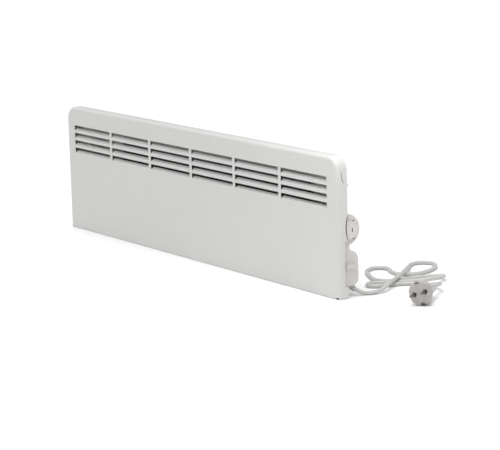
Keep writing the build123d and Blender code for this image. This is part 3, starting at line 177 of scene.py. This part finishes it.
# Extruded PVC sheath: soft satin surface with a faint lengthwise drag and a slow change of tone.
sheath_pvc, tree, shader, place = new_finish("extruded_pvc_sheath", "C0BFBD", 0.36)
shader.inputs["Coat Weight"].default_value = 0.12
shader.inputs["Coat Roughness"].default_value = 0.3
cloud = noise(tree, place, 0.03, 3.0)
mottle(tree, shader, cloud, "BAB9B7", "C5C4C2")
drag = noise(tree, place, 0.0016, 2.0)
emboss(tree, shader, drag, 0.25, 0.00008)

lead_curve = bpy.data.curves.new("mains_lead", "CURVE")
lead_curve.dimensions = "3D"
lead_curve.bevel_depth = lead_diameter / 2
lead_curve.bevel_resolution = 5
lead_curve.resolution_u = 8
lead_curve.use_fill_caps = True
run = lead_curve.splines.new("NURBS")
run.points.add(len(lead_route) - 1)
for point, corner in zip(run.points, lead_route):
    point.co = (*corner, 1)
run.order_u = 3
run.use_endpoint_u = True
lead_curve.materials.append(sheath_pvc)
mains_lead = bpy.data.objects.new("mains_lead", lead_curve)
bpy.context.collection.objects.link(mains_lead)
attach(mains_lead, "heater")
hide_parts("cord_lead", "cord_hank", "cord_end")

# ---------------------------------------------------------------------------------------------
# Plug: a grip of light grey PVC, ribbed, scooped at its sides and drawn out to a slim neck over the
# lead, round a darker pin carrier. It rests on the rim of its round face and on the lead.
plug_length = 0.068
plug_flat = 0.0175  # from the middle to either flat side
pin_reach = 0.0095  # from the middle to either pin
plug_way = (Vector(lead_route[-1]) - Vector(lead_route[-2])).normalized()
plug_face = Vector(lead_route[-1]) + plug_way * plug_length
plug_level = Vector((0, 0, 1)).cross(plug_way).normalized()
plug_roll = math.radians(19)
pin_line = plug_level * math.cos(plug_roll) + plug_way.cross(plug_level) * math.sin(plug_roll)
clip_line = plug_way.cross(pin_line)
plug_place = Matrix.Translation(plug_face) @ Matrix((pin_line, clip_line, plug_way)).transposed().to_4x4()


def keep_piece(name, shape, finish, body, sharp=32):
    """The bmesh as a finished object: shaded smooth up to the sharp angle, riding on its body."""
    mesh = bpy.data.meshes.new(name)
    shape.to_mesh(mesh)
    shape.free()
    mesh.shade_smooth()
    mesh.set_sharp_from_angle(angle=math.radians(sharp))
    mesh.materials.append(finish)
    piece = bpy.data.objects.new(name, mesh)
    bpy.context.collection.objects.link(piece)
    if body:
        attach(piece, body)
    return piece


def turned_shape(profile, steps=72, ring=False):
    """A closed shape turned about Z from (radius, height) pairs, from axis to axis or round a ring."""
    shape = bmesh.new()
    corners = [shape.verts.new((radius, 0, level)) for radius, level in profile]
    edges = [shape.edges.new(pair) for pair in zip(corners, corners[1:] + corners[:1] * ring)]
    bmesh.ops.spin(
        shape, geom=corners + edges, cent=(0, 0, 0), axis=(0, 0, 1), angle=math.tau, steps=steps,
        use_merge=True,
    )
    bmesh.ops.remove_doubles(shape, verts=shape.verts, dist=1e-6)
    bmesh.ops.recalc_face_normals(shape, faces=shape.faces)
    return shape


def cut_away(piece, cutters):
    """Cuts closed shapes out of a piece and clears them up."""
    for cutter in cutters:
        tool = bpy.data.meshes.new("cutter")
        cutter.to_mesh(tool)
        cutter.free()
        tool_object = bpy.data.objects.new("cutter", tool)
        bpy.context.collection.objects.link(tool_object)
        taking = piece.modifiers.new("cut", "BOOLEAN")
        taking.operation = "DIFFERENCE"
        taking.solver = "EXACT"
        taking.object = tool_object
        bpy.context.view_layer.update()
        cut = bpy.data.meshes.new_from_object(piece.evaluated_get(bpy.context.evaluated_depsgraph_get()))
        piece.modifiers.clear()
        piece.data = cut
        bpy.data.objects.remove(tool_object)
    piece.data.shade_smooth()
    piece.data.set_sharp_from_angle(angle=math.radians(32))


def cylinder(shape, radius, depth, place, segments=48, tip=None):
    """Adds a closed cylinder, or a cone to the radius at its tip, on the Z of its place."""
    bmesh.ops.create_cone(
        shape, cap_ends=True, segments=segments, radius1=radius, radius2=radius if tip is None else tip,
        depth=depth, matrix=place,
    )
    return shape


def block(size, place):
    """A closed block with its middle at its place."""
    shape = bmesh.new()
    bmesh.ops.create_cube(shape, size=1, matrix=place @ Matrix.Diagonal((*size, 1)))
    return shape


def drawn_shape(corners, way):
    """A closed shape drawn out of a flat outline along a way."""
    shape = bmesh.new()
    outline = shape.faces.new([shape.verts.new(corner) for corner in corners])
    drawn = bmesh.ops.extrude_face_region(shape, geom=[outline])
    moved = [part for part in drawn["geom"] if isinstance(part, bmesh.types.BMVert)]
    bmesh.ops.translate(shape, vec=way, verts=moved)
    bmesh.ops.recalc_face_normals(shape, faces=shape.faces)
    return shape


def gloss(tree, shader, pattern, least, most):
    """Lets the roughness drift between two values with a pattern."""
    polish = add_node(tree, "ShaderNodeMapRange", values={"To Min": least, "To Max": most}, Value=pattern)
    tree.links.new(polish.outputs["Result"], shader.inputs["Roughness"])


# Injection-moulded PVC: light grey, soft gloss, with the fine matt bloom of a worn mould.
plug_pvc, tree, shader, place = new_finish("moulded_white_pvc", "C0BCBB", 0.42)
shader.inputs["Subsurface Weight"].default_value = 0.08
shader.inputs["Subsurface Radius"].default_value = (0.002, 0.0016, 0.0013)
bloom = noise(tree, place, 0.012, 4.0)
gloss(tree, shader, bloom, 0.34, 0.5)
mottle(tree, shader, bloom, "B9B5B4", "C5C1C0")
stipple = noise(tree, place, 0.0006, 2.0)
emboss(tree, shader, stipple, 0.2, 0.00005)

grip_profile = [(0, 0), (0.0183, 0), (0.0191, -0.0004), (0.0195, -0.0013), (0.0195, -0.0085)]
grip_profile += [(0.0194, -0.0092), (0.0189, -0.0096)]
for ridge in range(6):
    start = 0.0104 + ridge * 0.0032
    crest = 0.0192 - ridge * ridge * 0.0002
    grip_profile += [(crest - 0.0007, -start), (crest, -start - 0.0003), (crest, -start - 0.0013)]
    grip_profile += [(crest - 0.0007, -start - 0.0016), (crest - 0.0009, -start - 0.0026)]
grip_profile += [(0.0122, -0.0318), (0.0104, -0.0342), (0.0090, -0.037), (0.0084, -0.0395), (0.0082, -0.042)]
grip_profile += [(0.0082, -0.0565), (0.0079, -0.0581), (0.0071, -0.0593), (0.0060, -0.0599)]
for ring in range(3):
    start = 0.0605 + ring * 0.0025
    crest = 0.0052 - ring * 0.0002
    grip_profile += [(crest, -start), (crest, -start - 0.0011), (crest - 0.0006, -start - 0.0015)]
    grip_profile += [(crest - 0.0006, -start - 0.0022)]
grip_profile += [(0.0042, -plug_length), (0.0036, -plug_length), (0, -plug_length)]
plug_shape = turned_shape(grip_profile, 96)
for side in (-1, 1):
    flat = bmesh.ops.bisect_plane(
        plug_shape,
        geom=plug_shape.verts[:] + plug_shape.edges[:] + plug_shape.faces[:],
        plane_co=(side * plug_flat, 0, 0),
        plane_no=(side, 0, 0),
        clear_outer=True,
    )
    rim = [part for part in flat["geom_cut"] if isinstance(part, bmesh.types.BMEdge)]
    bmesh.ops.holes_fill(plug_shape, edges=rim)
bmesh.ops.recalc_face_normals(plug_shape, faces=plug_shape.faces)
bmesh.ops.transform(plug_shape, matrix=plug_place, verts=plug_shape.verts)
plug_moulding = keep_piece("plug_moulding", plug_shape, plug_pvc, None)

# Wells round the pins, notches for the earth clips and the grooved scoops for thumb and finger.
well_radius = 0.0041
well_depth = 0.006
notch_size = (0.007, 0.006, 0.0145)
notch_reach = 0.0185  # from the plug's middle line
notch_level = -0.00625
scoop_width = 0.06
plug_cutters = []
for side in (-1, 1):
    well_place = plug_place @ Matrix.Translation((side * pin_reach, 0, 0))
    plug_cutters.append(cylinder(bmesh.new(), well_radius, well_depth, well_place, 40))
    notch_place = plug_place @ Matrix.Translation((0, side * notch_reach, notch_level))
    plug_cutters.append(block(notch_size, notch_place))
scoop_line = [(0.0225, -0.008), (0.0155, -0.008), (0.0140, -0.0085), (0.0117, -0.0103), (0.0102, -0.0128)]
for groove in range(7):
    start = 0.0150 + groove * 0.0028
    scoop_line += [(0.0096, -start), (0.0089, -start - 0.0004)]
    scoop_line += [(0.0089, -start - 0.0014), (0.0096, -start - 0.0018)]
scoop_line += [(0.0096, -0.0375), (0.0225, -0.0375)]
for side in (-1, 1):
    scoop_corners = [(side * x, -scoop_width / 2, z) for x, z in scoop_line]
    scoop = drawn_shape(scoop_corners, (0, scoop_width, 0))
    bmesh.ops.transform(scoop, matrix=plug_place, verts=scoop.verts)
    plug_cutters.append(scoop)
cut_away(plug_moulding, plug_cutters)

# Harder grey compound of the pin carrier: matt, fine grained, filling the front of the plug.
carrier_pvc, tree, shader, place = new_finish("moulded_grey_pvc", "AFABA9", 0.5)
grit = noise(tree, place, 0.0009, 3.0)
mottle(tree, shader, grit, "A4A09F", "B8B4B2")
emboss(tree, shader, grit, 0.3, 0.00006)
plug_moulding.data.materials.append(carrier_pvc)
carrier_depth = -0.0079  # the seam between the carrier and the grip
to_plug = plug_place.inverted()
for face in plug_moulding.data.polygons:
    face.material_index = int((to_plug @ face.center).z > carrier_depth)
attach(plug_moulding, "heater")
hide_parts("plug_body")


def dress(finish, *names):
    """Gives CAD nodes a finish."""
    for name in names:
        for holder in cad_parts[name].material_slots:
            holder.material = finish


# Plug pins and earth clips: turned brass pins and pressed clips with a bright nickel plating.
nickel_plate, tree, shader, place = new_finish("nickel_plated_brass", "86837E", 0.3, 1.0)
turning = noise(tree, place, 0.0025, 3.0)
gloss(tree, shader, turning, 0.18, 0.34)
dress(nickel_plate, "plug_pins", "plug_earth_clips")

# ---------------------------------------------------------------------------------------------
# Front cover and rear panel: 1 mm steel sheet, pressed, pierced and folded, then powder coated in
# one light grey-white. The cover's louvres are lanced from the sheet; screws join the two behind.

# Baked powder coat: satin, with a fine orange peel and a barely uneven tone.
powder_coat, tree, shader, place = new_finish("baked_powder_coat", "CFCFCD", 0.38)
shader.inputs["Coat Weight"].default_value = 0.15
shader.inputs["Coat Roughness"].default_value = 0.25
cloud = noise(tree, place, 0.12, 3.0)
mottle(tree, shader, cloud, "CCCCCA", "D1D1CF")
peel = noise(tree, place, 0.0014, 1.5)
emboss(tree, shader, peel, 0.3, 0.00006)
dress(powder_coat, "front_cover", "rear_panel")

# Zinc-plated steel screws: bluish bright zinc, a little cloudy.
zinc_plate, tree, shader, place = new_finish("zinc_plated_steel", "BFC1C0", 0.32, 1.0)
cloud = noise(tree, place, 0.003, 3.0)
gloss(tree, shader, cloud, 0.24, 0.45)
dress(zinc_plate, "cover_screws", "holder_screws", "lid_screws", "clamp_screws", "box_screws")
dress(zinc_plate, "terminal_screws", "thermostat_shaft")

# ---------------------------------------------------------------------------------------------
# Heating element: a sheathed rod pressed into a finned extrusion of aluminium, carried in steatite
# bushes by two folded steel holders in front of an aluminised reflector.

# Extruded aluminium: matt silver with faint die lines along its length.
extruded_aluminium, tree, shader, place = new_finish("extruded_aluminium", "C4C6C8", 0.4, 1.0)
stretch = add_node(tree, "ShaderNodeMapping", values={"Scale": (0.02, 1, 1)}, Vector=place)
lines = noise(tree, stretch.outputs["Vector"], 0.0008, 2.0)
gloss(tree, shader, lines, 0.3, 0.5)
dress(extruded_aluminium, "heating_fins")

# Rolled aluminised sheet: dulled to a dark grey by the heat, with broader rolling streaks.
aluminised_sheet, tree, shader, place = new_finish("aluminised_sheet", "4E5052", 0.4, 1.0)
stretch = add_node(tree, "ShaderNodeMapping", values={"Scale": (0.03, 1, 1)}, Vector=place)
lines = noise(tree, stretch.outputs["Vector"], 0.004, 3.0)
gloss(tree, shader, lines, 0.3, 0.5)
dress(aluminised_sheet, "heat_reflector")

# Heat-tinted stainless tube: straw to blue-grey where the element has run hot.
tinted_steel, tree, shader, place = new_finish("heat_tinted_stainless", "77716A", 0.36, 1.0)
heat = noise(tree, place, 0.05, 2.0)
mottle(tree, shader, heat, "6B5A48", "7D828A")
dress(tinted_steel, "heating_rod", "rod_studs")

# Steatite: dry-pressed ceramic, cream, unglazed, with fine darker specks.
steatite, tree, shader, place = new_finish("unglazed_steatite", "E3DCCB", 0.6)
speck = add_node(tree, "ShaderNodeTexVoronoi", values={"Scale": 1 / 0.0012}, Vector=place)
dots = add_node(
    tree, "ShaderNodeMapRange", values={"From Min": 0.1, "From Max": 0.3}, Value=speck.outputs["Distance"]
)
mottle(tree, shader, dots.outputs["Result"], "BFB5A0", "E6DFCE")
dress(steatite, "rod_insulators", "element_bushes", "overheat_cutout")

# Hot-dip galvanised sheet: crystals of zinc about 8 mm across, each a little lighter or darker.
galvanised_sheet, tree, shader, place = new_finish("galvanised_sheet", "A9ADB0", 0.42, 1.0)
spangle = add_node(tree, "ShaderNodeTexVoronoi", values={"Scale": 1 / 0.008}, Vector=place)
crystal = add_node(tree, "ShaderNodeSeparateColor", Color=spangle.outputs["Color"])
mottle(tree, shader, crystal.outputs["Red"], "979CA0", "BABEC0")
gloss(tree, shader, crystal.outputs["Green"], 0.34, 0.52)
dress(galvanised_sheet, "element_holder_left", "element_holder_right", "cutout_plate")
dress(galvanised_sheet, "wall_bracket_left", "wall_bracket_right", "bracket_lock_left", "bracket_lock_right")

# ---------------------------------------------------------------------------------------------
# Control moulding at the right-hand end: a hollow ABS housing with a screwed lid, which carries the
# thermostat and the switch and grips the lead.

# Moulded ABS: slightly warm white, spark-eroded matt texture.
moulded_abs, tree, shader, place = new_finish("moulded_abs", "D2CECA", 0.45)
cloud = noise(tree, place, 0.03, 3.0)
mottle(tree, shader, cloud, "CDCAC6", "D5D2CE")
spark = noise(tree, place, 0.0005, 2.0)
emboss(tree, shader, spark, 0.25, 0.00004)
dress(moulded_abs, "control_box", "control_box_lid")

# Smoother, glossier moulding for what the fingers touch.
smooth_abs, tree, shader, place = new_finish("polished_abs", "D3D0CC", 0.32)
wipe = noise(tree, place, 0.006, 3.0)
gloss(tree, shader, wipe, 0.24, 0.38)
dress(smooth_abs, "switch_body")

# Printed marks on the moulding and the filled pointer: dark grey ink, matt, a little uneven.
marking_ink, tree, shader, place = new_finish("dark_marking_ink", "1E1C1B", 0.6)
fleck = noise(tree, place, 0.0004, 2.0)
mottle(tree, shader, fleck, "181716", "292726")

# ---------------------------------------------------------------------------------------------
# Dial: a low knob of polished ABS with moulded finger flutes, pressed on the thermostat's flatted
# shaft. Its pointer is a sunk line filled with ink; two printed dots stand beside it.
dial_place = Matrix(((0, 0, 1, 0.4184), (1, 0, 0, -0.017), (0, 1, 0, 0.1123), (0, 0, 0, 1)))
knob_radius = 0.0155
knob_length = 0.0062
flutes = 30
steps_per_flute = 8
flute_depth = 0.0007
crown_round = 0.0003
knob = bmesh.new()
knob_middle = Matrix.Translation((0, 0, knob_length / 2))
cylinder(knob, knob_radius, knob_length, knob_middle, steps_per_flute * flutes, knob_radius - crown_round)
for corner in knob.verts:
    share = math.atan2(corner.co.y, corner.co.x) / math.tau * flutes % 1
    sunk = flute_depth * max(0, math.sin(math.pi * (share - 0.15) / 0.7))
    corner.co.xy *= 1 - sunk / knob_radius
crown = max(knob.faces, key=lambda face: face.calc_center_median().z)
bmesh.ops.bevel(
    knob, geom=crown.edges[:], offset=crown_round, offset_type="OFFSET", segments=2, profile=0.5,
    affect="EDGES", material=-1, clamp_overlap=True,
)
bmesh.ops.transform(knob, matrix=dial_place, verts=knob.verts)
dial_cap = keep_piece("dial_cap", knob, smooth_abs, None)

# Taken out of the cap: a shallow dish in its crown, the groove of the pointer and the shaft's bore.
dish_depth = 0.0004
pointer_reach = 0.0061  # from the dial's axis to the middle of the pointer
bore_radius = 0.00305
bore_depth = 0.005
crown_place = dial_place @ Matrix.Translation((0, 0, knob_length))
crown_dish = cylinder(bmesh.new(), 0.0118, 2 * dish_depth, crown_place, 96, 0.0126)
pointer_middle = dial_place @ Matrix.Translation((pointer_reach, 0, knob_length - dish_depth))
pointer_cut = block((0.0019, 0.0065, 0.0014), pointer_middle)
shaft_bore = cylinder(bmesh.new(), bore_radius, 2 * bore_depth, dial_place)
cut_away(dial_cap, [crown_dish, pointer_cut, shaft_bore])
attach(dial_cap, "dial")
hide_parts("dial_knob")

pointer_ink = block((0.0018, 0.0064, 0.0003), pointer_middle @ Matrix.Translation((0, 0, -0.0005)))
bmesh.ops.bevel(
    pointer_ink, geom=pointer_ink.edges[:], offset=0.0001, segments=2, profile=0.5, affect="EDGES",
    material=-1,
)
pointer_fill = keep_piece("pointer_fill", pointer_ink, marking_ink, "dial")

dot_radius = 0.0013
dot_thick = 0.00016  # half of it sunk in the moulding
mark_shape = bmesh.new()
for level in (0.0962, 0.126):
    mark_place = Matrix.Translation((0.41806, -0.0042, level)) @ Matrix.Rotation(math.pi / 2, 4, "Y")
    cylinder(mark_shape, dot_radius, dot_thick, mark_place, 32, dot_radius - 0.0001)
fascia_marks = keep_piece("fascia_marks", mark_shape, marking_ink, "heater")

# ---------------------------------------------------------------------------------------------
# Rocker of the switch: one moulding of polished ABS on two stub pivots, dished along its length so
# that a finger finds either end. It lies across the moulding and stands tilted at rest.
rocker_rest = math.radians(-9)
rocker_place = Matrix.Translation((0.4156, -0.0115, 0.0514)) @ Matrix.Rotation(rocker_rest, 4, "Z")
rocker_rim = [(0.0052, 0.007), (0.00455, 0.0046), (0.00395, 0.0022), (0.0037, 0), (0.00395, -0.0022)]
rocker_rim += [(0.00455, -0.0046), (0.0052, -0.007), (-0.0012, -0.007), (-0.0045, -0.0012)]
rocker_rim += [(-0.0045, 0.0012), (-0.0012, 0.007)]
rocker_width = 0.009
pivot_radius = 0.0012
pivot_length = 0.0106
rocker_shape = drawn_shape([(x, y, -rocker_width / 2) for x, y in rocker_rim], (0, 0, rocker_width))
bmesh.ops.bevel(
    rocker_shape, geom=rocker_shape.edges[:], offset=0.00035, segments=3, profile=0.5, affect="EDGES",
    material=-1, clamp_overlap=True,
)
cylinder(rocker_shape, pivot_radius, pivot_length, Matrix(), 32)
bmesh.ops.transform(rocker_shape, matrix=rocker_place, verts=rocker_shape.verts)
rocker_key = keep_piece("rocker_key", rocker_shape, smooth_abs, "rocker")
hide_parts("switch_rocker")

# ---------------------------------------------------------------------------------------------
# Strain relief: a tapered sleeve of softer PVC where the lead leaves the moulding, slotted round in
# steps so that it bends with the lead and not at one place.
relief_way = (Vector(lead_route[2]) - Vector(lead_route[1])).normalized()
relief_place = Matrix.Translation(lead_exit) @ relief_way.to_track_quat("Z", "Y").to_matrix().to_4x4()
sleeve_profile = [(0.0036, -0.0079), (0.0057, -0.0079), (0.006, -0.0076), (0.006, 0.0006), (0.0058, 0.0009)]
for step in range(4):
    start = 0.0012 + step * 0.0026
    crest = 0.0058 - step * 0.00034
    sleeve_profile += [(crest - 0.0009, start), (crest - 0.0009, start + 0.0008)]
    sleeve_profile += [(crest - 0.0001, start + 0.001), (crest - 0.0003, start + 0.0024)]
sleeve_profile += [(0.0044, 0.0118), (0.0042, 0.0122), (0.0036, 0.0122)]
sleeve = turned_shape(sleeve_profile, 48, ring=True)
bmesh.ops.transform(sleeve, matrix=relief_place, verts=sleeve.verts)
relief_sleeve = keep_piece("relief_sleeve", sleeve, plug_pvc, "heater")
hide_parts("strain_relief")

# ---------------------------------------------------------------------------------------------
# Parts inside the moulding and rubber parts: thermostat, terminals, clamp, switch tabs, wires, the
# grommet, the wall bumpers and the edging of the thumb notch, all shown as the CAD has them. The
# edging's black is painted shade: a dark strip where the notch's edge shows only a shadow gap.

# Black phenolic resin of the thermostat, the terminal block and the clamp: fine mottled filler.
phenolic, tree, shader, place = new_finish("black_phenolic", "2B2927", 0.45)
filler = noise(tree, place, 0.0012, 3.0)
mottle(tree, shader, filler, "1F1D1B", "3A3632")
dress(phenolic, "thermostat", "terminal_block", "cord_clamp")

# Bare brass of the switch tabs.
brass_strip, tree, shader, place = new_finish("brass_strip", "B5924C", 0.34, 1.0)
tarnish = noise(tree, place, 0.003, 3.0)
mottle(tree, shader, tarnish, "A07F3F", "C4A25C")
dress(brass_strip, "switch_spades")

# Silicone-rubber insulation of the inner wires: matt, faintly wavy.
silicone, tree, shader, place = new_finish("silicone_insulation", "CFC9BC", 0.55)
wave = noise(tree, place, 0.002, 2.0)
mottle(tree, shader, wave, "C6C0B2", "D6D1C5")
dress(silicone, "inner_wires")

# Black rubber of the grommet and the wall bumpers: dull with a dusty bloom. On the thumb notch
# edging the same black is painted shade, standing in for the shadow at the notch's edge.
black_rubber, tree, shader, place = new_finish("black_rubber", "232324", 0.7)
dust = noise(tree, place, 0.004, 4.0)
mottle(tree, shader, dust, "1A1A1B", "333334")
# The thumb notch edging takes this black as painted shade for the shadow gap along the notch.
dress(black_rubber, "wire_grommet", "rear_bumpers", "thumb_notch_edging")
